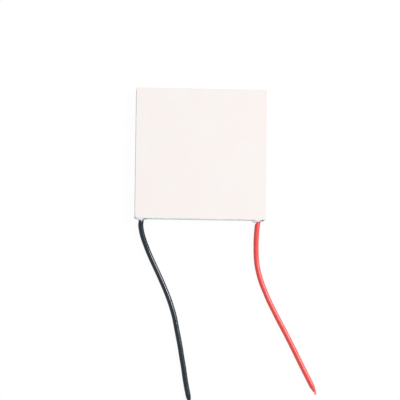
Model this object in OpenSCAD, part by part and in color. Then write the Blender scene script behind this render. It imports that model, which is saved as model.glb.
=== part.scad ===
// Thermoelectric cooling module, lying on its hot plate with both leads on the same surface.
// Frame: +Z up, origin at the centre of the hot plate's outer face, leads leaving towards -Y.

/* [Plates] */
// Width of the square module
module_w = 40; // [36:1:50]
// Thickness of each ceramic plate
plate_t = 0.75; // [0.5:0.05:1.5]

/* [Pellets] */
// Pellet sites along each side of the square grid, an even number
sites = 16; // [4:2:16]
// Width of a square pellet
pellet_w = 1.4; // [0.8:0.1:1.6]
// Height of a pellet
pellet_h = 1.6; // [1.2:0.1:3]

/* [Copper tabs] */
// Thickness of a copper tab
tab_t = 0.3; // [0.1:0.05:0.4]
// How far a tab stands out past its pellets
tab_lip = 0.2; // [0.05:0.05:0.3]
// Thickness of the solder between a tab and a pellet
solder_t = 0.05; // [0.02:0.01:0.1]

/* [Sealant] */
// Depth of the sealant bead, measured in from the plate edges
seal_depth = 0.95; // [0.6:0.05:1.2]
// How far the bead's outer face is set back from the plate edges
seal_recess = 0.1; // [0.05:0.05:0.3]
// Clearance between the bead and the outermost tabs
seal_clear = 0.15; // [0.05:0.05:0.4]
// How far the dab round each lead stands out from the plate edges
dab_out = 0.6; // [0.4:0.1:1.2]
// Radius of the dab where it meets the plate edges
dab_r = 1.4; // [1.2:0.1:2]
// Clearance between the dab and the surface that the module lies on
dab_clear = 0.1; // [0.05:0.05:0.4]

/* [Leads] */
// Outer diameter of a lead's insulation
lead_d = 1.6; // [1.2:0.1:1.8]
// Diameter of the stranded conductor
wire_d = 0.76; // [0.4:0.02:0.9]
// Distance from the black lead's centre to the left edge of the plates
black_inset = 2; // [2:0.1:2.6]
// Distance from the red lead's centre to the right edge of the plates
red_inset = 2.4; // [2:0.1:2.6]
// Clearance between the insulation and the hot plate
lead_clear = 0.1; // [0.05:0.05:0.3]
// Length of the taper at the cut end of the insulation
taper_l = 1.6; // [0.4:0.1:1.6]
// Diameter of the insulation at its cut end
taper_d = 1; // [1:0.05:1.2]
// Length of the bare tip
tip_l = 1.1; // [0.5:0.1:2]
// How far the red lead's bare tip is bent forward, in degrees
tip_bend = 12; // [0:1:20]

/* [Terminal joints] */
// Diameter of the solder round the conductor on a terminal tab
joint_d = 1; // [1:0.05:1.4]
// Clearance between the solder joint and the nearest pellet
joint_clear = 0.2; // [0.1:0.05:0.4]

/* [Hidden] */
gap_h = pellet_h + 2 * (tab_t + solder_t);
module_t = gap_h + 2 * plate_t;
front_y = -module_w / 2;

// Pellet grid
tab_w = pellet_w + 2 * tab_lip;
grid_edge = module_w / 2 - seal_depth - seal_clear - tab_w / 2;
pairs = round(sites / 2);
last = 2 * pairs - 1;
pitch = 2 * grid_edge / last;
hot_tab_z = plate_t;
hot_solder_z = hot_tab_z + tab_t;
pellet_z = hot_solder_z + solder_t;
cold_solder_z = pellet_z + pellet_h;
cold_tab_z = cold_solder_z + solder_t;

// Leads, which leave at the front left and front right corner sites
black_x = black_inset - module_w / 2;
red_x = module_w / 2 - red_inset;
lead_z = plate_t + lead_clear + lead_d / 2;
lying_z = lead_d / 2;
lead_start_y = front_y + seal_depth;
joint_start_y = -grid_edge - tab_w / 2;
joint_end_y = -grid_edge + pitch - pellet_w / 2 - joint_clear;
dab_sphere_r = (dab_r * dab_r + dab_out * dab_out) / (2 * dab_out);

// Sides of a lead's cross-section, facets of a round shape, and how far a cut runs past a face
LEAD_SIDES = 8;
ROUND_FN = 64;
OVERCUT = 1;

// A lead's route: across and forward from its exit, and the share of the drop still above
// the surface that the module lies on
black_route = [
    [0, 0, 1], [0, -0.8, 1],
    [-0.08, -2.3, 1], [0.45, -5, 0.8], [1.45, -7.8, 0.45], [2.55, -10.5, 0.15],
    [3.8, -13.2, 0], [5.15, -16, 0], [6.4, -18.7, 0], [7.65, -21.5, 0], [8.75, -24.2, 0],
    [9.75, -27.1, 0], [10.55, -29.9, 0], [11.15, -32.8, 0], [11.75, -35.7, 0], [12.35, -38.7, 0],
    [12.85, -41.7, 0], [13.4, -44.7, 0], [13.85, -47.6, 0], [14.35, -50.5, 0], [14.95, -53.4, 0],
    [15.35, -55.4, 0],
];
red_route = [
    [0, 0, 1], [0, -0.8, 1],
    [-0.2, -2.2, 1], [-0.38, -4.4, 0.82], [-0.45, -7.2, 0.48], [-0.37, -10.2, 0.15],
    [-0.1, -13.3, 0], [0.54, -16.3, 0], [1.44, -19.2, 0], [2.64, -22.1, 0], [3.83, -24.8, 0],
    [5.12, -27.3, 0], [6.44, -29.9, 0], [7.95, -32.7, 0], [9.35, -35.3, 0], [10.73, -38, 0],
    [12, -40.5, 0], [13.35, -43.2, 0], [14.73, -45.9, 0], [16.13, -48.6, 0], [17.75, -51.75, 0],
];

PLATE_COLOUR = [0.98, 0.96, 0.945];
COPPER_COLOUR = [0.78, 0.45, 0.3];
SOLDER_COLOUR = [0.76, 0.77, 0.78];
N_PELLET_COLOUR = [0.4, 0.41, 0.44];
P_PELLET_COLOUR = [0.5, 0.49, 0.47];
SEALANT_COLOUR = [0.95, 0.95, 0.97];
BLACK_COLOUR = [0.1, 0.13, 0.17];
RED_COLOUR = [0.91, 0.26, 0.24];

function two_digits(n) = str(n < 10 ? "0" : "", n);
function column_name(type, col) = str(type, "_pellets_column_", two_digits(col + 1));

// ---- Pellet grid ----

function site(i) = i * pitch - grid_edge;
// The two front corner sites hold the lead ends in place of a pellet
function has_pellet(col, row) = row > 0 || (col > 0 && col < last);
// Neighbouring sites alternate between n-type and p-type
function is_n_type(col, row) = (col + row) % 2 == 0;

module block(w, l, h) {
    translate([-w / 2, -l / 2, 0]) cube([w, l, h]);
}

// A tab that joins the pellets at one site and the next one along Y
module tab_along_y(col, row, z) {
    translate([site(col), site(row) + pitch / 2, z]) block(tab_w, pitch + tab_w, tab_t);
}

// A tab that joins the pellets at one site and the next one along X
module tab_along_x(col, row, z) {
    translate([site(col) + pitch / 2, site(row), z]) block(pitch + tab_w, tab_w, tab_t);
}

module solder_pads(z) {
    for (col = [0:last], row = [0:last])
        if (has_pellet(col, row))
            translate([site(col), site(row), z]) block(pellet_w, pellet_w, solder_t);
}

// The pellets of one type in one column of the grid
module column_pellets(col, n_type) {
    for (row = [0:last])
        if (has_pellet(col, row) && is_n_type(col, row) == n_type)
            translate([site(col), site(row), pellet_z]) block(pellet_w, pellet_w, pellet_h);
}

// ---- Swept leads ----

function unit(v) = v / norm(v);
// Direction of a path at one of its points: the mean of the runs on either side
function heading(path, i) =
    let (before = i == 0 ? path[1] - path[0] : path[i] - path[i - 1],
         after = i == len(path) - 1 ? before : path[i + 1] - path[i])
    unit(unit(before) + unit(after));
function ring(path, i, r) =
    let (along = heading(path, i), across = unit(cross(along, [0, 0, 1])), up = cross(across, along))
    [for (k = [0:LEAD_SIDES - 1])
        let (a = 360 * k / LEAD_SIDES) path[i] + r * (cos(a) * across + sin(a) * up)];
function rings(path, radii) = [for (i = [0:len(path) - 1]) each ring(path, i, radii[i])];
// Two triangles between corner k of ring i and the matching corner of ring j
function wall(i, j, k) =
    let (n = (k + 1) % LEAD_SIDES, a = i * LEAD_SIDES, b = j * LEAD_SIDES)
    [[a + k, a + n, b + n], [a + k, b + n, b + k]];
function walls(i, j) = [for (k = [0:LEAD_SIDES - 1]) each wall(i, j, k)];

// A tube along a path, with an outer radius for each point and one bore radius
module swept_tube(path, radii, bore_r) {
    count = len(path);
    bore_radii = [for (p = path) bore_r];
    polyhedron(
        points = concat(rings(path, radii), rings(path, bore_radii)),
        faces = concat(
            [for (i = [0:count - 2]) each walls(i, i + 1)],
            [for (i = [0:count - 2]) each walls(count + i + 1, count + i)],
            walls(count, 0),
            walls(count - 1, 2 * count - 1)
        )
    );
}

// A solid rod along a path
module swept_rod(path, r) {
    count = len(path);
    polyhedron(
        points = rings(path, [for (p = path) r]),
        faces = concat(
            [for (i = [0:count - 2]) each walls(i, i + 1)],
            [[for (k = [LEAD_SIDES - 1:-1:0]) k]],
            [[for (k = [0:LEAD_SIDES - 1]) (count - 1) * LEAD_SIDES + k]]
        )
    );
}

// The insulation's path, from the sealant's inner face to its cut end
function lead_path(x, route) =
    let (laid = [for (p = route) [x + p[0], front_y + p[1], lying_z + p[2] * (lead_z - lying_z)]],
         end = laid[len(laid) - 1],
         run = unit(end - laid[len(laid) - 2]))
    concat([[x, lead_start_y, lead_z]],
           [for (i = [1:len(laid) - 2]) laid[i]],
           [end - taper_l * run, end]);

module lead_jacket(x, route) {
    path = lead_path(x, route);
    radii = [for (i = [0:len(path) - 1]) (i < len(path) - 1 ? lead_d : taper_d) / 2];
    swept_tube(path, radii, wire_d / 2);
}

module lead_conductor(x, route, bend = 0) {
    path = lead_path(x, route);
    end = path[len(path) - 1];
    run = unit(end - path[len(path) - 2]);
    tip = [
        run[0] * cos(bend) + run[1] * sin(bend),
        run[1] * cos(bend) - run[0] * sin(bend),
        0
    ];
    swept_rod(concat([[x, joint_end_y, lead_z]], path, [end + tip_l * tip]), wire_d / 2);
}

// ---- Sub-parts ----

module hot_plate() {
    color(PLATE_COLOUR) block(module_w, module_w, plate_t);
}

module cold_plate() {
    color(PLATE_COLOUR) translate([0, 0, module_t - plate_t]) block(module_w, module_w, plate_t);
}

module hot_tabs() {
    color(COPPER_COLOUR)
        for (col = [0:last], pair = [0:pairs - 1])
            if (pair > 0 || (col > 0 && col < last)) tab_along_y(col, 2 * pair, hot_tab_z);
}

module black_terminal_tab() {
    color(COPPER_COLOUR) tab_along_y(0, 0, hot_tab_z);
}

module red_terminal_tab() {
    color(COPPER_COLOUR) tab_along_y(last, 0, hot_tab_z);
}

module cold_tabs() {
    color(COPPER_COLOUR)
        for (col = [0:last], pair = [0:pairs - 2]) tab_along_y(col, 2 * pair + 1, cold_tab_z);
}

// Where the series circuit turns from one column into the next, at the back and at the front
module cold_turn_tabs() {
    color(COPPER_COLOUR) {
        for (pair = [0:pairs - 1]) tab_along_x(2 * pair, last, cold_tab_z);
        for (pair = [0:pairs - 2]) tab_along_x(2 * pair + 1, 0, cold_tab_z);
    }
}

module hot_solder_pads() {
    color(SOLDER_COLOUR) solder_pads(hot_solder_z);
}

module cold_solder_pads() {
    color(SOLDER_COLOUR) solder_pads(cold_solder_z);
}

module n_pellets(col) {
    color(N_PELLET_COLOUR) column_pellets(col, true);
}

module p_pellets(col) {
    color(P_PELLET_COLOUR) column_pellets(col, false);
}

// The bead between the plates, all the way round
module sealant_bead() {
    outer_w = module_w - 2 * seal_recess;
    inner_w = module_w - 2 * seal_depth;
    translate([0, 0, plate_t]) linear_extrude(gap_h) difference() {
        square(outer_w, center = true);
        square(inner_w, center = true);
    }
}

// The domed dab outside the plate edges, and the neck that ties it to the bead
module sealant_dab(x) {
    translate([x, front_y, 0]) {
        intersection() {
            translate([0, dab_sphere_r - dab_out, lead_z]) sphere(r = dab_sphere_r, $fn = ROUND_FN);
            translate([-dab_r, -dab_out, dab_clear]) cube([2 * dab_r, dab_out, module_t - dab_clear]);
        }
        translate([-dab_r, 0, plate_t]) cube([2 * dab_r, seal_depth, gap_h]);
    }
}

// The hole that a lead leaves in the dab and the bead, with the lead's own cross-section
module lead_bore(x) {
    length = dab_out + seal_depth + 2 * OVERCUT;
    translate([x, lead_start_y + OVERCUT, lead_z]) rotate([90, 0, 0])
        cylinder(d = lead_d, h = length, $fn = LEAD_SIDES);
}

module perimeter_sealant() {
    color(SEALANT_COLOUR) difference() {
        union() {
            sealant_bead();
            sealant_dab(black_x);
            sealant_dab(red_x);
        }
        lead_bore(black_x);
        lead_bore(red_x);
    }
}

// The mound of solder that holds a conductor down on its terminal tab: a round top on a
// straight foot, seen along the conductor
module joint_section() {
    rise = lead_z - hot_solder_z;
    difference() {
        intersection() {
            union() {
                circle(d = joint_d, $fn = ROUND_FN);
                translate([-joint_d / 2, -rise]) square([joint_d, rise]);
            }
            translate([-joint_d / 2, -rise]) square([joint_d, rise + joint_d / 2]);
        }
        circle(d = wire_d, $fn = LEAD_SIDES);
    }
}

module terminal_joint(x) {
    color(SOLDER_COLOUR)
        translate([x, joint_end_y, lead_z]) rotate([90, 0, 0])
            linear_extrude(joint_end_y - joint_start_y) joint_section();
}

module black_lead_jacket() {
    color(BLACK_COLOUR) lead_jacket(black_x, black_route);
}

module black_lead_conductor() {
    color(COPPER_COLOUR) lead_conductor(black_x, black_route);
}

module black_terminal_joint() {
    terminal_joint(black_x);
}

module red_lead_jacket() {
    color(RED_COLOUR) lead_jacket(red_x, red_route);
}

module red_lead_conductor() {
    color(COPPER_COLOUR) lead_conductor(red_x, red_route, tip_bend);
}

module red_terminal_joint() {
    terminal_joint(red_x);
}

hot_plate();
cold_plate();
hot_tabs();
black_terminal_tab();
red_terminal_tab();
cold_tabs();
cold_turn_tabs();
hot_solder_pads();
cold_solder_pads();
for (col = [0:last]) n_pellets(col);
for (col = [0:last]) p_pellets(col);
perimeter_sealant();
black_lead_jacket();
black_lead_conductor();
black_terminal_joint();
red_lead_jacket();
red_lead_conductor();
red_terminal_joint();
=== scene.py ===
# %% [markdown]
# # A thermoelectric cooling module
# The real object is a thin sandwich. Two white ceramic plates hold a grid of small
# semiconductor pellets between them, copper tabs join the pellets in one long zigzag, and
# silicone sealant closes the gap all the way round. A black and a red lead leave the front
# edge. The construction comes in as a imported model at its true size. This script gives each
# piece its finish, and models again those whose true shape is softer than plain solids.

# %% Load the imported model
import math

import bmesh
import bpy
from mathutils import Matrix, Vector, noise


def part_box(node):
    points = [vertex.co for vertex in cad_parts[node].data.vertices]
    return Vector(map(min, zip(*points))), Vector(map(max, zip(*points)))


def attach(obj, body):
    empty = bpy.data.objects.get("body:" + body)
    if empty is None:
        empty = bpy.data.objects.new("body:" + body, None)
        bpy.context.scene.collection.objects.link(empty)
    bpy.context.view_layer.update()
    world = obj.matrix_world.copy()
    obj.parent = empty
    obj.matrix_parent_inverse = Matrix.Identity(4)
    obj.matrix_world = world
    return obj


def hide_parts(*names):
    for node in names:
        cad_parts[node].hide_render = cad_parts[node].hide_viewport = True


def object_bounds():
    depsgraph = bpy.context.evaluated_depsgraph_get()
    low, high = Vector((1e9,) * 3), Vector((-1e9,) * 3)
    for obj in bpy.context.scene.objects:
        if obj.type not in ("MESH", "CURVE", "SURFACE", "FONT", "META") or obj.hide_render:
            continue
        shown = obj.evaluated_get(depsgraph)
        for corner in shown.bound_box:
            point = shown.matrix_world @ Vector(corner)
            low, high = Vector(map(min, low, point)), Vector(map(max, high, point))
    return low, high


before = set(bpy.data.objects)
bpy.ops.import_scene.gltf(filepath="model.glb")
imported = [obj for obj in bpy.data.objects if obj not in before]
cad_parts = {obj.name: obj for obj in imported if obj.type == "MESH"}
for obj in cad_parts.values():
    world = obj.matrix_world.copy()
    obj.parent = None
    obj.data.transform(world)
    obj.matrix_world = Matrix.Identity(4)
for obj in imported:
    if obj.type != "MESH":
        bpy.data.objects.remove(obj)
MM = 0.001
cad_low, cad_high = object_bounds()
print("packed model:", [round(side / MM, 2) for side in cad_high - cad_low], "mm")

# %% [markdown]
# ## Camera
# The module lies flat, so it is looked at from above. A long lens from far away keeps the
# sides of the plate parallel. The camera leans a little towards the front and the left,
# which lets a hair of those two sides show, and it is rolled by less than a degree, as by a
# steady hand. A tracking constraint has no clear up direction for a camera that looks almost
# straight down, so its right, up and back directions are worked out and set as a matrix.

# %% Aim a long lens down at the module
plate_low, plate_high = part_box("cold_plate")
FRONT_Y = plate_low.y
LENS = 200
VIEW_DISTANCE = 0.6755
LEAN_TO_LEFT = math.radians(3.4)
LEAN_TO_FRONT = math.radians(6.5)
ROLL = math.radians(0.6)
AIM_ASIDE = -0.26 * MM
AIM_FORWARD = 0.7125  # from the middle of the plate, at nought, to its front edge, at one
aim = Vector((AIM_ASIDE, AIM_FORWARD * FRONT_Y, plate_high.z))

back = Vector((-math.tan(LEAN_TO_LEFT), -math.tan(LEAN_TO_FRONT), 1)).normalized()
right = Vector((0, 1, 0)).cross(back).normalized()
axes = Matrix((right, back.cross(right), back)).transposed().to_4x4()
camera_data = bpy.data.cameras.new("camera")
camera_data.lens = LENS
camera_data.clip_end = 10
camera = bpy.data.objects.new("camera", camera_data)
bpy.context.scene.collection.objects.link(camera)
camera.matrix_world = (
    Matrix.Translation(aim + VIEW_DISTANCE * back) @ axes @ Matrix.Rotation(ROLL, 4, "Z")
)
bpy.context.scene.camera = camera
bpy.context.scene.view_settings.view_transform = "Standard"
print("camera at", [round(side, 3) for side in camera.matrix_world.translation], "m")

# %% [markdown]
# ## From a bmesh to a piece
# Each new piece is shaped in a bmesh and then becomes an object that sits at the origin,
# with its place in its mesh. Normals are worked out once, when the shape is closed. Shading
# is smooth, apart from edges that turn by more than a chosen angle. A large face stays flat,
# because smooth shading would blend it with the narrow bevel round it, like a pillow.

# %% Turn a bmesh into a finished piece
FLAT_AREA = 2 * MM**2


def make_piece(bm, name, sharp_from):
    """An object that rides on the part. Edges that turn by over sharp_from degrees are sharp."""
    bmesh.ops.recalc_face_normals(bm, faces=bm.faces)
    mesh = bpy.data.meshes.new(name)
    bm.to_mesh(mesh)
    bm.free()
    mesh.set_sharp_from_angle(angle=math.radians(sharp_from))
    for face in mesh.polygons:
        face.use_smooth = face.area < FLAT_AREA
    piece = bpy.data.objects.new(name, mesh)
    bpy.context.scene.collection.objects.link(piece)
    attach(piece, "root")
    print(name, len(mesh.polygons), "faces")
    return piece


# %% [markdown]
# ## Where the leads run
# A lead is a stretch of hook-up wire: soft insulation over a stranded conductor. It leaves
# the sealant straight, sinks to the table over about a centimetre, and lies there in one
# loose curve. Its route is a short list of points, across and forward from the exit, with the
# share of the drop that is still to come. A Catmull-Rom curve passes through every point of
# the list, so the smooth line stays on the route, where a B-spline would cut its corners.

# %% Name the sizes and the routes of the leads
LEAD_D = 1.6 * MM
WIRE_D = 0.76 * MM
TAPER_L = 2 * MM
TAPER_D = 0.95 * MM
TIP_L = 1.08 * MM
TIP_BEND = {"black": 0, "red": math.radians(12)}
ROUTE_STEPS = 6

BLACK_ROUTE = [
    (0, 0, 1), (0, -0.8, 1),
    (-0.08, -2.3, 1), (0.45, -5, 0.8), (1.45, -7.8, 0.45), (2.55, -10.5, 0.15),
    (3.8, -13.2, 0), (5.15, -16, 0), (6.4, -18.7, 0), (7.65, -21.5, 0), (8.75, -24.2, 0),
    (9.75, -27.1, 0), (10.55, -29.9, 0), (11.15, -32.8, 0), (11.75, -35.7, 0), (12.35, -38.7, 0),
    (12.85, -41.7, 0), (13.4, -44.7, 0), (13.85, -47.6, 0), (14.35, -50.5, 0), (14.95, -53.4, 0),
    (15.35, -55.4, 0),
]
RED_ROUTE = [
    (0, 0, 1), (0, -0.8, 1),
    (-0.2, -2.2, 1), (-0.38, -4.4, 0.82), (-0.45, -7.2, 0.48), (-0.37, -10.2, 0.15),
    (-0.1, -13.3, 0), (0.54, -16.3, 0), (1.44, -19.2, 0), (2.64, -22.1, 0), (3.83, -24.8, 0),
    (5.12, -27.3, 0), (6.44, -29.9, 0), (7.95, -32.7, 0), (9.35, -35.3, 0), (10.73, -38, 0),
    (12, -40.5, 0), (13.35, -43.2, 0), (14.73, -45.9, 0), (16.13, -48.6, 0), (17.75, -51.75, 0),
]


# %% Draw the centreline of each lead
def exit_point(colour):
    """Where a lead leaves the front edge of the plates, in line with its solder joint."""
    joint_low, joint_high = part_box(colour + "_terminal_joint")
    jacket_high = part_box(colour + "_lead_jacket")[1]
    return Vector(((joint_low.x + joint_high.x) / 2, FRONT_Y, jacket_high.z - LEAD_D / 2))


exits = {colour: exit_point(colour) for colour in ("black", "red")}


def smooth_path(points, steps):
    """A Catmull-Rom curve through the points, with so many steps from each to the next."""
    ends = len(points) - 1
    path = []
    for i in range(ends):
        before, start, end, after = (points[min(max(i + k, 0), ends)] for k in (-1, 0, 1, 2))
        for step in range(steps):
            t = step / steps
            square = 2 * before - 5 * start + 4 * end - after
            cube = 3 * start - before - 3 * end + after
            path.append(start + ((end - before) * t + square * t**2 + cube * t**3) / 2)
    return path + [points[-1]]


def lead_path(colour, route):
    """From the inner face of the sealant to the cut end of the insulation."""
    leave = exits[colour]
    lying = LEAD_D / 2
    laid = [
        Vector((leave.x + x * MM, leave.y + y * MM, lying + share * (leave.z - lying)))
        for x, y, share in route
    ]
    inside = Vector((leave.x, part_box(colour + "_lead_jacket")[1].y, leave.z))
    path = smooth_path([inside] + laid, ROUTE_STEPS)
    for point in path:
        point.z = max(point.z, lying)
    return path


def path_length(path):
    """The sum of the steps from point to point."""
    return sum((b - a).length for a, b in zip(path, path[1:]))


black_path = lead_path("black", BLACK_ROUTE)
red_path = lead_path("red", RED_ROUTE)
print("black lead:", round(path_length(black_path) / MM, 1), "mm,", len(black_path), "points")
print("red lead:", round(path_length(red_path) / MM, 1), "mm,", len(red_path), "points")

# %% [markdown]
# ## A ring that grows into a tube
# A tube is one ring of vertices, extruded from station to station. A frame at each station
# holds the directions across, up and along, and one matrix carries the new ring from the
# last frame to the next. A curve with a bevel would be shorter to write, but this sweep can
# turn round at the cut end and run back inside, which gives the insulation a real wall and
# bore. Each vertex also keeps where it lies on the straightened lead, in an attribute called
# lay, so that a pattern can follow the lead round its bends.


# %% Sweep a ring along a path
def stations(path):
    """A frame at each point of a path, with its Z along the path and its Y upwards."""
    frames = []
    for i, point in enumerate(path):
        along = (path[min(i + 1, len(path) - 1)] - path[max(i - 1, 0)]).normalized()
        across = along.cross(Vector((0, 0, 1))).normalized()
        station = Matrix((across, across.cross(along), along)).transposed().to_4x4()
        station.translation = point
        frames.append(station)
    return frames


def sweep(bm, frames, radii, sides, loop=False):
    """Carry a ring along the frames, and close its ends or bridge the last to the first."""
    lay = bm.verts.layers.float_vector.get("lay") or bm.verts.layers.float_vector.new("lay")
    ring = bmesh.ops.create_circle(bm, segments=sides, radius=radii[0], matrix=frames[0])["verts"]
    first = edges = list({edge for vert in ring for edge in vert.link_edges})
    travelled = 0
    for i, station in enumerate(frames):
        if i:
            grown = bmesh.ops.extrude_edge_only(bm, edges=edges)["geom"]
            ring = [item for item in grown if isinstance(item, bmesh.types.BMVert)]
            edges = [
                item for item in grown
                if isinstance(item, bmesh.types.BMEdge) and set(item.verts) <= set(ring)
            ]
            shrink = Matrix.Diagonal((radii[i] / radii[i - 1],) * 3 + (1,))
            carry = station @ shrink @ frames[i - 1].inverted()
            bmesh.ops.transform(bm, matrix=carry, verts=ring)
            run = station.translation - frames[i - 1].translation
            travelled += math.copysign(run.length, run.dot(frames[0].col[2].to_3d()))
        to_station = station.inverted()
        for vert in ring:
            vert[lay] = to_station @ vert.co + Vector((0, 0, travelled))
    if loop:
        bmesh.ops.bridge_loops(bm, edges=first + edges)
    else:
        bmesh.ops.contextual_create(bm, geom=first)
        bmesh.ops.contextual_create(bm, geom=edges)


# %% [markdown]
# ## Insulation
# The insulation is extruded PVC. Where it was stripped, the wall is drawn down to a blunt
# nose, and the bore shows round the strands. The outer wall is swept to the nose, the lip is
# rounded over two short steps, and the same ring then runs back along the bore.

# %% Model the insulation of each lead
LIP = 0.06 * MM
LIP_BEVEL = 0.3
INSULATION_SIDES = 32


def insulation(colour, path):
    """A tube along the path, drawn in at its end, with its bore."""
    frames = stations(path)
    radii = []
    for point in path:
        share = min((path[-1] - point).length / TAPER_L, 1)
        drawn = share * share * (3 - 2 * share)
        radii.append((TAPER_D + (LEAD_D - TAPER_D) * drawn) / 2)
    reach = (1 - LIP_BEVEL, 1, 1 - LIP_BEVEL)
    nose = [frames[-1] @ Matrix.Translation((0, 0, share * LIP)) for share in reach]
    nose_radii = [radii[-1] - LIP_BEVEL * LIP, radii[-1] - LIP, WIRE_D / 2 + LIP_BEVEL * LIP]
    bm = bmesh.new()
    sweep(
        bm, frames + nose + frames[::-1], radii + nose_radii + [WIRE_D / 2] * len(path),
        INSULATION_SIDES, loop=True,
    )
    piece = make_piece(bm, colour + "_insulation", sharp_from=75)
    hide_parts(colour + "_lead_jacket")
    return piece


black_insulation = insulation("black", black_path)
red_insulation = insulation("red", red_path)

# %% [markdown]
# ## Strands
# The conductor is seven copper strands, six laid round one. Each outer strand is a thin tube
# swept along a helix round the lead's centreline. They run from the solder on the terminal
# tab to the bare tip, where a twist of the fingers has drawn them closer together. The tip of
# the red lead is also bent forward a little.

# %% Model the conductor of each lead
STRAND_D = WIRE_D / 3
STRAND_GAP = 0.005 * MM
STRAND_SIDES = 10
OUTER_STRANDS = 6
LAY_LENGTH = 9 * MM
INNER_STEPS = 5
TIP_STEPS = 6
TWIST = 0.8


def helix(frames, radii, first_angle):
    """A path that winds round the middle of the frames, with a radius for each frame."""
    path = []
    travelled = 0
    for i, (station, radius) in enumerate(zip(frames, radii)):
        if i:
            travelled += (station.translation - frames[i - 1].translation).length
        angle = first_angle + 2 * math.pi * travelled / LAY_LENGTH
        path.append(station @ Vector((radius * math.cos(angle), radius * math.sin(angle), 0)))
    return path


def strands(colour, path):
    """Six strands wound round one, from the terminal joint to the end of the bare tip."""
    run = (path[-1] - path[-2]).normalized()
    tip_run = Matrix.Rotation(-TIP_BEND[colour], 3, "Z") @ run
    inner = Vector((path[0].x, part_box(colour + "_terminal_joint")[1].y, path[0].z))
    inside = [inner.lerp(path[0], k / INNER_STEPS) for k in range(INNER_STEPS)]
    out = [k / TIP_STEPS for k in range(1, TIP_STEPS + 1)]
    frames = stations(inside + path + [path[-1] + tip_run * TIP_L * share for share in out])
    drawn = [1] * (len(frames) - TIP_STEPS) + [1 - (1 - TWIST) * share for share in out]
    bm = bmesh.new()
    for k in range(OUTER_STRANDS + 1):
        spread = STRAND_D if k < OUTER_STRANDS else 0
        first_angle = 2 * math.pi * k / OUTER_STRANDS
        turned = stations(helix(frames, [spread * share for share in drawn], first_angle))
        radii = [(STRAND_D - STRAND_GAP) / 2 * share for share in drawn]
        sweep(bm, turned, radii, STRAND_SIDES)
    piece = make_piece(bm, colour + "_strands", sharp_from=50)
    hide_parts(colour + "_lead_conductor")
    return piece


black_strands = strands("black", black_path)
red_strands = strands("red", red_path)

# %% [markdown]
# ## Leads as modelled
# On a table, the leads lie as they were modelled. Somewhere else they may have to take
# another way.


# %% [markdown]
# ## Ceramic plates
# Each plate is a slip of alumina, fired flat and cut to size. A cube is scaled to the plate,
# and its four upright edges are bevelled first, because fired corners are a little blunt and
# one corner of the upper plate is worn round. Its other edges are crisp, but a fired edge is
# never a knife edge, so a last bevel of a few hundredths of a millimetre, on whatever is
# still sharp, takes the light along them.

# %% Model the ceramic plates
EDGE_ROUND = 0.05 * MM
CORNER_ROUND = 0.2 * MM
WORN_CORNER = 0.75 * MM
SHARP = math.radians(60)


def round_edges(bm, edges, radius, segments):
    """Bevel the edges to an arc."""
    bmesh.ops.bevel(
        bm, geom=edges, offset=radius, segments=segments, profile=0.5,
        affect="EDGES", material=-1,
    )


def ceramic(node, front_left):
    """A plate, with the radius of its front left corner."""
    low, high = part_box(node)
    bm = bmesh.new()
    bmesh.ops.create_cube(bm, size=1)
    bmesh.ops.scale(bm, vec=high - low, verts=bm.verts)
    bmesh.ops.translate(bm, vec=(low + high) / 2, verts=bm.verts)
    upright = [e for e in bm.edges if abs(e.verts[0].co.z - e.verts[1].co.z) > EDGE_ROUND]
    worn = [e for e in upright if e.verts[0].co.x < 0 and e.verts[0].co.y < 0]
    round_edges(bm, [e for e in upright if e not in worn], CORNER_ROUND, segments=4)
    round_edges(bm, worn, front_left, segments=10)
    sharp = [e for e in bm.edges if e.calc_face_angle() > SHARP]
    round_edges(bm, sharp, EDGE_ROUND, segments=3)
    piece = make_piece(bm, "ceramic_" + node, sharp_from=30)
    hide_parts(node)
    return piece


hot_ceramic = ceramic("hot_plate", CORNER_ROUND)
cold_ceramic = ceramic("cold_plate", WORN_CORNER)

# %% [markdown]
# ## Sealant bead
# The sealant is white silicone, pressed into the gap by hand. It clings to both plates and
# sinks a little between them. A box is hollowed into a ring with an inset at each end and a
# bridge between the two holes. Planes cut it into small facets, and a smooth noise moves its
# outer wall. Just right of each lead the bead is pressed in. Painted shade darkens the whole
# bead a little, where it lies sunk between the plates, and those dents more. An attribute keeps
# what each vertex loses of its white: that painted shade, and a little where a dab is thin and
# the colour of the lead comes through.

# %% Model the bead between the plates
SEAL_DEPTH = 0.95 * MM
SEAL_RECESS = 0.1 * MM
FACET = 0.4 * MM
SEAL_LAYERS = 8
CLING_RISE = 0.07 * MM
SINK = 0.05 * MM
LUMP_HEIGHT = 0.05 * MM
WIDE_LUMP = 2.6 * MM
SMALL_LUMP = 0.9 * MM
# Painted shade: the whole bead, sunk between the plates, loses this share of its white and turns a
# little cool.
BEAD_SHADE = Vector((0.14, 0.03, 0.05))
DENT_DEPTH = 0.4 * MM
DENT_OFFSET = 1.35 * MM
DENT_REACH = {"black": 0.75 * MM, "red": 0.5 * MM}
# Painted shade in the dent beside each lead: deep beside the black lead, faint beside the red one.
DENT_SHADE = {"black": Vector((0.5, 0.42, 0.4)), "red": Vector((0.88, 0.84, 0.77))}
THIN = 0.15 * MM
THIN_TINT = {"black": Vector((0.75, 0.72, 0.55)), "red": Vector((0.05, 0.35, 0.3))}
gap_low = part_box("hot_plate")[1].z
gap_high = plate_low.z


def cut_into_facets(bm, axis, low, high, count):
    """Cut the mesh by evenly spaced planes across one axis."""
    normal = Vector([float(i == axis) for i in range(3)])
    for k in range(1, count):
        place = normal * (low + (high - low) * k / count)
        geom = list(bm.verts) + list(bm.edges) + list(bm.faces)
        bmesh.ops.bisect_plane(bm, geom=geom, plane_co=place, plane_no=normal, dist=1e-8)


def dent(place, colour):
    """How far into the dent beside a lead a place is, from nought to one."""
    aside = place.x - exits[colour].x - DENT_OFFSET
    return math.exp(-((aside / DENT_REACH[colour]) ** 2)) if place.y < 0 else 0


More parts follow.
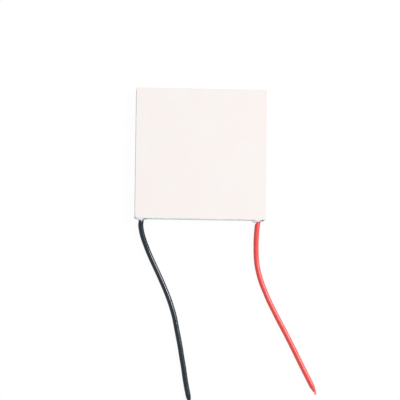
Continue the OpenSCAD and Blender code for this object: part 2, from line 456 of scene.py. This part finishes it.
def sealant_bead():
    """A square ring between the plates, with an uneven outer wall."""
    half = -FRONT_Y - SEAL_RECESS
    height = gap_high - gap_low
    middle = (gap_high + gap_low) / 2
    bm = bmesh.new()
    bmesh.ops.create_cube(bm, size=1)
    bmesh.ops.scale(bm, vec=(2 * half, 2 * half, height), verts=bm.verts)
    bmesh.ops.translate(bm, vec=(0, 0, middle), verts=bm.verts)
    bm.normal_update()
    ends = [face for face in bm.faces if abs(face.normal.z) > 0.5]
    bmesh.ops.inset_individual(bm, faces=ends, thickness=SEAL_DEPTH - SEAL_RECESS)
    rims = list({edge for face in ends for edge in face.edges})
    bmesh.ops.delete(bm, geom=ends, context="FACES_ONLY")
    bmesh.ops.bridge_loops(bm, edges=rims)
    cut_into_facets(bm, 0, -half, half, round(2 * half / FACET))
    cut_into_facets(bm, 1, -half, half, round(2 * half / FACET))
    cut_into_facets(bm, 2, gap_low, gap_high, SEAL_LAYERS)
    showing_and_shade = bm.verts.layers.float_vector.new("showing_and_shade")
    for vert in bm.verts:
        # Painted shade all along the bead.
        vert[showing_and_shade] = BEAD_SHADE
        cling = abs(vert.co.z - middle) / (height / 2)
        free = 1 - cling**4
        lumps = noise.noise(vert.co / WIDE_LUMP) + 0.5 * noise.noise(vert.co / SMALL_LUMP)
        outward = CLING_RISE * cling**3 - SINK + LUMP_HEIGHT * lumps * free
        for colour in ("black", "red"):
            pressed = dent(vert.co, colour)
            # Painted shade in the dent, darker the deeper the dent is.
            vert[showing_and_shade] += pressed * DENT_SHADE[colour]
            outward -= DENT_DEPTH * pressed * free
        walls = [axis for axis in (0, 1) if abs(vert.co[axis]) > half - 1e-6]
        for axis in walls:
            vert.co[axis] += math.copysign(outward, vert.co[axis])
    return bm


bead = sealant_bead()
print("bead:", len(bead.faces), "faces")

# %% [markdown]
# ## Dabs round the leads
# A dab of the same silicone is squeezed on where each lead comes out. It is built as from
# lumps of clay: spheres that overlap, melted into one skin by a voxel remesh. The first lump
# covers the hole, the second is the shoulder that climbs to the plate's upper edge, and the
# third goes round the lead. The small flat ones that follow ran out a little way, along the
# black lead and on the left of the red one, and the last lump stands on the lead's right. A
# plane cuts the skin off where the dab meets the bead, and the hole is capped.

# %% Model the dabs and join them to the bead
DAB_VOXEL = 0.06 * MM
DAB_SMOOTHING = 8
BLACK_LUMPS = [
    ((-0.5, 0.1, 0.4), (1.3, 0.65, 1.75)),
    ((-0.5, -0.05, 1.5), (1.25, 0.5, 0.65)),
    ((-0.2, -0.15, 0.7), (0.85, 0.35, 0.75)),
    ((0.05, -0.35, 0.75), (0.45, 0.4, 0.25)),
    ((0.1, -0.6, 0.8), (0.24, 0.42, 0.15)),
    ((0.9, 0.05, 0.3), (0.4, 0.4, 1.3)),
]
RED_LUMPS = [
    ((-0.5, 0.1, 0.4), (1.45, 0.55, 1.75)),
    ((-0.45, -0.05, 1.5), (1.3, 0.45, 0.65)),
    ((-0.1, -0.1, 0.7), (0.9, 0.35, 0.7)),
    ((-1, -0.4, 0.6), (0.8, 0.45, 0.25)),
    ((-0.4, -0.3, 0.65), (0.45, 0.4, 0.35)),
    ((-0.75, -0.55, 0.5), (0.35, 0.6, 0.25)),
    ((0.95, 0.05, 0.3), (0.45, 0.45, 1.3)),
]


def melt(bm, voxel):
    """Turn overlapping closed lumps into one smooth skin."""
    mesh = bpy.data.meshes.new("lumps")
    bm.to_mesh(mesh)
    bm.free()
    lumps = bpy.data.objects.new("lumps", mesh)
    bpy.context.scene.collection.objects.link(lumps)
    remesh = lumps.modifiers.new("remesh", "REMESH")
    remesh.mode = "VOXEL"
    remesh.voxel_size = voxel
    smooth = lumps.modifiers.new("smooth", "SMOOTH")
    smooth.iterations = DAB_SMOOTHING
    melted = bmesh.new()
    melted.from_object(lumps, bpy.context.evaluated_depsgraph_get())
    bpy.data.objects.remove(lumps)
    bpy.data.meshes.remove(mesh)
    return melted


def dab(colour, lumps):
    """Each lump has a centre, measured from the lead's exit, and three radii, all in mm."""
    bm = bmesh.new()
    for centre, radii in lumps:
        place = Matrix.Translation(exits[colour] + Vector(centre) * MM)
        bmesh.ops.create_icosphere(
            bm, subdivisions=4, radius=1,
            matrix=place @ Matrix.Diagonal([r * MM for r in radii] + [1]),
        )
    melted = melt(bm, DAB_VOXEL)
    geom = list(melted.verts) + list(melted.edges) + list(melted.faces)
    cut = bmesh.ops.bisect_plane(
        melted, geom=geom, plane_co=(0, FRONT_Y + SEAL_RECESS, 0), plane_no=(0, 1, 0),
        clear_outer=True,
    )["geom_cut"]
    bmesh.ops.contextual_create(melted, geom=[e for e in cut if isinstance(e, bmesh.types.BMEdge)])
    showing_and_shade = melted.verts.layers.float_vector.new("showing_and_shade")
    leave = exits[colour]
    for vert in melted.verts:
        cover = math.hypot(vert.co.x - leave.x, vert.co.z - leave.z) - LEAD_D / 2
        through = math.exp(-max(cover, 0) / THIN) * THIN_TINT[colour]
        # Where the dab is thin, the colour of the lead comes through; in the dent beside the lead,
        # painted shade.
        vert[showing_and_shade] = through + dent(vert.co, colour) * DENT_SHADE[colour]
    return melted


for colour, lumps in (("black", BLACK_LUMPS), ("red", RED_LUMPS)):
    melted = dab(colour, lumps)
    part = bpy.data.meshes.new("dab")
    melted.to_mesh(part)
    melted.free()
    bead.from_mesh(part)
    bpy.data.meshes.remove(part)
sealant = make_piece(bead, "silicone_sealant", sharp_from=60)
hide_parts("perimeter_sealant")

# %% [markdown]
# ## Finishes
# Each finish is a small tree of nodes round one Principled BSDF. Short helpers keep the
# trees readable: one turns a colour as it looks on a screen into the linear colour that
# Blender works with, one adds a node and fills its sockets by name, and the rest each make
# one kind of node that the finishes share.


# %% Helpers for the finishes
def paint(red, green, blue):
    """A screen colour, 0 to 255 a channel, as a linear colour."""
    channels = [c / 255 for c in (red, green, blue)]
    linear = [c / 12.92 if c <= 0.04045 else ((c + 0.055) / 1.055) ** 2.4 for c in channels]
    return (*linear, 1)


def fill(tree, socket, value):
    """Link another node's output to a socket, or set the socket to a constant."""
    if isinstance(value, bpy.types.NodeSocket):
        tree.links.new(value, socket)
    else:
        socket.default_value = value


def add(tree, kind, settings=None, **sockets):
    """A node of that kind, with its settings, and a value or a link for each named socket."""
    node = tree.nodes.new("ShaderNode" + kind)
    for name, value in (settings or {}).items():
        setattr(node, name, value)
    for name, value in sockets.items():
        fill(tree, node.inputs[name.replace("_", " ")], value)
    return node


def new_finish(name, **constants):
    """A material with its tree and its shader. Constants go straight on the shader."""
    material = bpy.data.materials.new(name)
    material.use_nodes = True
    tree = material.node_tree
    tree.nodes.clear()
    shader = add(tree, "BsdfPrincipled", **constants)
    add(tree, "OutputMaterial", Surface=shader.outputs["BSDF"])
    return material, tree, shader


def grain(tree, place, size, detail=3, rough=0.5):
    """A noise whose lumps are about that size across, in metres."""
    node = add(tree, "TexNoise", Vector=place, Scale=1 / size, Detail=detail, Roughness=rough)
    return node.outputs["Fac"]


def shades(tree, share, first, second, start=0.3, end=0.7):
    """A colour that goes from the first to the second as the share goes from start to end."""
    node = add(tree, "ValToRGB", Fac=share)
    low, high = node.color_ramp.elements
    low.position, low.color = start, first
    high.position, high.color = end, second
    return node.outputs["Color"]


def between(tree, share, low, high, start=0.3, end=0.7):
    """A number from low to high as the share goes from start to end."""
    node = add(tree, "MapRange", Value=share, To_Min=low, To_Max=high, From_Min=start, From_Max=end)
    return node.outputs["Result"]


def relief(tree, height, depth, below=None):
    """A bump of that depth in metres, on top of a finer or a coarser one."""
    sockets = {"Normal": below} if below else {}
    node = add(tree, "Bump", Height=height, Strength=1, Distance=depth, **sockets)
    return node.outputs["Normal"]


def stretched(tree, place, scale, turn=(0, 0, 0)):
    """Places to look a pattern up at: a small scale draws the pattern out along that axis."""
    node = add(tree, "Mapping", Vector=place, Scale=scale, Rotation=turn)
    return node.outputs["Vector"]


def multiply(tree, share, first, second):
    """The first colour, darkened by a share of the second."""
    node = add(tree, "Mix", {"data_type": "RGBA", "blend_type": "MULTIPLY"})
    factor, first_colour, second_colour = node.inputs[0], node.inputs[6], node.inputs[7]
    fill(tree, factor, share)
    fill(tree, first_colour, first)
    fill(tree, second_colour, second)
    return node.outputs[2]


def set_shader(tree, shader, **sockets):
    """Link each value to the shader's socket of that name."""
    for name, value in sockets.items():
        tree.links.new(value, shader.inputs[name.replace("_", " ")])


def wear(piece, material):
    """Give a piece its finish, in place of any that it came with."""
    if piece.material_slots:
        for slot in piece.material_slots:
            slot.material = material
    else:
        piece.data.materials.append(material)


# %% [markdown]
# ### Alumina
# Fired alumina is a warm, chalky white. Close to, it has a fine grain, faint cloudy patches
# and the crossed marks of the lapping wheel, which dull the shine in streaks. The pattern is
# solid noise in Object coordinates, so it runs round the edges as it does in real ceramic.


# %% Finish the plates
CLOUD = 7 * MM
SPECK = 0.25 * MM
LAPPING = 6 * MM
LAPPING_DEPTH = 0.01 * MM
CRYSTAL = 0.06 * MM
CRYSTAL_DEPTH = 0.004 * MM


def alumina_finish():
    """Faces are warm and lapped. The cut sides are rougher, and painted shade darkens and cools
    them.
    """
    material, tree, shader = new_finish("alumina", IOR=1.76, Specular_IOR_Level=0.3)
    place = add(tree, "TexCoord").outputs["Object"]
    clouds = grain(tree, place, CLOUD)
    speckle = grain(tree, place, SPECK, detail=2)
    crossed = stretched(tree, place, scale=(40, 1, 1), turn=(0, 0, 0.6))
    lapping = grain(tree, crossed, LAPPING, detail=4)
    normal = add(tree, "SeparateXYZ", Vector=add(tree, "NewGeometry").outputs["Normal"])
    upright = add(tree, "Math", {"operation": "ABSOLUTE"})
    tree.links.new(normal.outputs["Z"], upright.inputs[0])
    # Painted shade: the cut sides are darkened and cooled, as if in shade. They are also rougher.
    cut = between(tree, upright.outputs[0], 1, 0, start=0.3, end=0.99)
    white = shades(tree, clouds, paint(250, 243, 240), paint(251, 245, 243))
    specks = shades(tree, speckle, paint(246, 243, 240), paint(255, 255, 255), start=0.25, end=0.5)
    face = multiply(tree, 0.5, white, specks)
    crystals = relief(tree, grain(tree, place, CRYSTAL, detail=2), CRYSTAL_DEPTH)
    set_shader(
        tree, shader,
        Base_Color=multiply(tree, cut, face, paint(190, 226, 218)),
        Roughness=between(tree, cut, 0.55, 0.9, start=0, end=1),
        Normal=relief(tree, lapping, LAPPING_DEPTH, crystals),
    )
    return material


alumina = alumina_finish()
for piece in (hot_ceramic, cold_ceramic):
    wear(piece, alumina)

# %% [markdown]
# ### Silicone
# Cured silicone is milky and a little cool. Light goes some way into it, so it gets
# subsurface scattering over half a millimetre, a soft shine and a dimpled skin. The white is
# multiplied by what an attribute leaves of it: painted shade on the bead and in the dents,
# and the colour of the lead where a dab is thin.


# %% Finish the sealant
MILKY_CLOUD = 1.5 * MM
DIMPLE = 0.35 * MM
DIMPLE_DEPTH = 0.03 * MM


def silicone_finish():
    """Milky, darkened by painted shade, and darker where the lead shows through."""
    material, tree, shader = new_finish(
        "silicone", IOR=1.41, Subsurface_Weight=0.5, Subsurface_Scale=0.8 * MM,
        Subsurface_Radius=(1, 0.95, 0.9),
    )
    place = add(tree, "TexCoord").outputs["Object"]
    clouds = grain(tree, place, MILKY_CLOUD)
    dimples = grain(tree, place, DIMPLE)
    milky = shades(tree, clouds, paint(244, 244, 254), paint(250, 250, 255))
    # Painted shade from the bead and the dents, and the colour of the lead through a thin dab.
    showing_and_shade = add(tree, "Attribute", {"attribute_name": "showing_and_shade"}).outputs["Vector"]
    left = add(tree, "VectorMath", {"operation": "SUBTRACT"})
    left.inputs[0].default_value = (1, 1, 1)
    tree.links.new(showing_and_shade, left.inputs[1])
    set_shader(
        tree, shader,
        Base_Color=multiply(tree, 1, milky, left.outputs[0]),
        Roughness=between(tree, dimples, 0.3, 0.5),
        Normal=relief(tree, dimples, DIMPLE_DEPTH),
    )
    return material


wear(sealant, silicone_finish())

# %% [markdown]
# ### PVC insulation
# Extruded PVC carries faint streaks along its length from the die, and a slightly pebbled
# skin that breaks up its shine. Both must follow the lead, so they read the lay attribute,
# in which the lead is straight. The black skin is glossy, with a shine that breaks into
# dashes. The red one is smoother and more satin, and lets a little light in.


# %% Finish the insulation
STREAK = 0.35 * MM
PEBBLE = 0.3 * MM


def insulation_finish(name, dark, light, shine, rough, pebble_height, depth):
    """PVC in two close shades. The depth is the share of the light that goes into it."""
    material, tree, shader = new_finish(
        name, IOR=1.53, Specular_IOR_Level=shine, Subsurface_Weight=depth,
        Subsurface_Scale=0.6 * MM, Subsurface_Radius=(1, 0.3, 0.25),
    )
    lay = add(tree, "Attribute", {"attribute_name": "lay"}).outputs["Vector"]
    streaks = grain(tree, stretched(tree, lay, scale=(1, 1, 0.03)), STREAK)
    pebbles = grain(tree, lay, PEBBLE)
    pebbled = relief(tree, pebbles, pebble_height)
    set_shader(
        tree, shader,
        Base_Color=shades(tree, streaks, dark, light),
        Roughness=between(tree, pebbles, rough - 0.05, rough + 0.05),
        Normal=relief(tree, streaks, 0.6 * pebble_height, pebbled),
    )
    return material


black_pvc = insulation_finish(
    "black_pvc", paint(2, 22, 36), paint(6, 30, 44), shine=0.36, rough=0.17,
    pebble_height=0.015 * MM, depth=0,
)
red_pvc = insulation_finish(
    "red_pvc", paint(240, 46, 38), paint(250, 60, 50), shine=0.85, rough=0.4,
    pebble_height=0.005 * MM, depth=0.5,
)
wear(black_insulation, black_pvc)
wear(red_insulation, red_pvc)

# %% [markdown]
# ### Metals
# Copper strands, copper tabs and solder are all metallic, and differ in colour and in how
# their surface is broken up: drawn lines on the strands, rolling marks and a little tarnish
# on the tabs, and frosty crystals on the solder. The pellets are cut from an ingot, so they
# have its grey shine, drawn out along their height.


# %% Finish the strands, tabs, solder and pellets
MARK = 0.2 * MM
MARK_DEPTH = 0.005 * MM


def metal_finish(name, dull, bright, patch, marks, read="Object"):
    """Patches of two shades, that size in metres, and fine marks, drawn out by their scale."""
    material, tree, shader = new_finish(name, Metallic=1)
    if read == "Object":
        place = add(tree, "TexCoord").outputs["Object"]
    else:
        place = add(tree, "Attribute", {"attribute_name": read}).outputs["Vector"]
    patches = grain(tree, place, patch)
    lines = grain(tree, stretched(tree, place, marks), MARK)
    set_shader(
        tree, shader,
        Base_Color=shades(tree, patches, dull, bright),
        Roughness=between(tree, lines, 0.25, 0.45),
        Normal=relief(tree, lines, MARK_DEPTH),
    )
    return material


stranded = metal_finish(
    "stranded_copper", paint(196, 120, 106), paint(222, 152, 134),
    patch=0.5 * MM, marks=(1, 1, 0.05), read="lay",
)
copper = metal_finish(
    "copper", paint(214, 146, 118), paint(238, 178, 150), patch=1.5 * MM, marks=(1, 0.05, 1)
)
solder = metal_finish(
    "solder", paint(186, 188, 190), paint(214, 215, 217), patch=0.3 * MM, marks=(1, 1, 1)
)
n_telluride = metal_finish(
    "n_telluride", paint(112, 114, 122), paint(150, 151, 158),
    patch=0.5 * MM, marks=(1, 1, 0.08),
)
p_telluride = metal_finish(
    "p_telluride", paint(128, 124, 118), paint(168, 163, 156),
    patch=0.5 * MM, marks=(1, 1, 0.08),
)
for piece in (black_strands, red_strands):
    wear(piece, stranded)
finish_of = {
    "tab": copper, "solder": solder, "joint": solder,
    "n_pellets": n_telluride, "p_pellets": p_telluride,
}
for name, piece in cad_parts.items():
    for word, finish in finish_of.items():
        if word in name:
            wear(piece, finish)

# %% [markdown]
# ## Studio
# The module lies on a plain white table, with even light from all round. A soft key lamp,
# high on the right and a little behind, draws a shine along the leads, and a weaker fill
# lamp in front opens the shade on the sealant. Lamps and room light together come to about
# one, so that each colour shows as it was written. The table is white to the camera by a
# little light of its own that only camera, mirror and glass rays see, so it still takes the
# hair of shadow under the edges.

# %% Light the module and lay it on the table
ROOM_LIGHT = 0.27
KEY_LIGHT = 0.555
FILL_LIGHT = 0.17
ROOM_TINT = (0.96, 1.01, 1.03, 1)
LAMP_DISTANCE = 2.5
TABLE_SIZE = 6
TABLE_GLOW = 0.965
TABLE_SHADE = 1.01 - TABLE_GLOW
TABLE_GRAIN = 0.4 * MM


def seen_directly(tree):
    """One for camera, glossy and transmission rays, and nought for the rest."""
    path = add(tree, "LightPath").outputs
    highest = add(tree, "Math", {"operation": "MAXIMUM"})
    tree.links.new(path["Is Camera Ray"], highest.inputs[0])
    tree.links.new(path["Is Glossy Ray"], highest.inputs[1])
    both = add(tree, "Math", {"operation": "MAXIMUM"})
    tree.links.new(highest.outputs[0], both.inputs[0])
    tree.links.new(path["Is Transmission Ray"], both.inputs[1])
    return both.outputs[0]


world = bpy.data.worlds.new("room")
bpy.context.scene.world = world
world.use_nodes = True
tree = world.node_tree
tree.nodes.clear()
room = add(tree, "Background", Color=ROOM_TINT, Strength=ROOM_LIGHT)
white = add(tree, "Background", Color=(1, 1, 1, 1), Strength=1)
sky = add(tree, "MixShader", Fac=seen_directly(tree))
tree.links.new(room.outputs[0], sky.inputs[1])
tree.links.new(white.outputs[0], sky.inputs[2])
add(tree, "OutputWorld", Surface=sky.outputs[0])


def soft_lamp(name, light, size, tilt, turn, colour):
    """A round lamp that points at the origin, tilted off the vertical, turned from +X."""
    tilt, turn = math.radians(tilt), math.radians(turn)
    lamp_data = bpy.data.lights.new(name, "AREA")
    lamp_data.shape = "DISK"
    lamp_data.size = size
    lamp_data.color = colour
    lamp_data.energy = light * math.pi**2 * LAMP_DISTANCE**2 / math.cos(tilt)
    lamp = bpy.data.objects.new(name, lamp_data)
    bpy.context.scene.collection.objects.link(lamp)
    swing = Matrix.Rotation(turn, 4, "Z") @ Matrix.Rotation(tilt, 4, "Y")
    lamp.matrix_world = swing @ Matrix.Translation((0, 0, LAMP_DISTANCE))


soft_lamp("key", KEY_LIGHT, size=0.8, tilt=46, turn=27, colour=(1.02, 0.99, 0.98))
soft_lamp("fill", FILL_LIGHT, size=1.2, tilt=60, turn=-80, colour=(1, 1, 1))

table_bm = bmesh.new()
bmesh.ops.create_grid(table_bm, x_segments=1, y_segments=1, size=TABLE_SIZE / 2)
bmesh.ops.translate(table_bm, vec=(0, 0, cad_low.z), verts=table_bm.verts)
table_mesh = bpy.data.meshes.new("table")
table_bm.to_mesh(table_mesh)
table_bm.free()
table = bpy.data.objects.new("table", table_mesh)
bpy.context.scene.collection.objects.link(table)

surface = bpy.data.materials.new("table_top")
surface.use_nodes = True
tree = surface.node_tree
tree.nodes.clear()
paper = grain(tree, add(tree, "TexCoord").outputs["Object"], TABLE_GRAIN)
paper_white = shades(tree, paper, paint(243, 245, 247), paint(247, 248, 249))
lit = add(tree, "BsdfDiffuse", Color=paper_white)
shadow = add(tree, "BsdfDiffuse", Color=(TABLE_SHADE, TABLE_SHADE, TABLE_SHADE, 1))
glow = add(tree, "Emission", Color=(1, 1, 1, 1), Strength=TABLE_GLOW)
seen = add(tree, "AddShader")
tree.links.new(shadow.outputs[0], seen.inputs[0])
tree.links.new(glow.outputs[0], seen.inputs[1])
top = add(tree, "MixShader", Fac=seen_directly(tree))
tree.links.new(lit.outputs[0], top.inputs[1])
tree.links.new(seen.outputs[0], top.inputs[2])
add(tree, "OutputMaterial", Surface=top.outputs[0])
table_mesh.materials.append(surface)
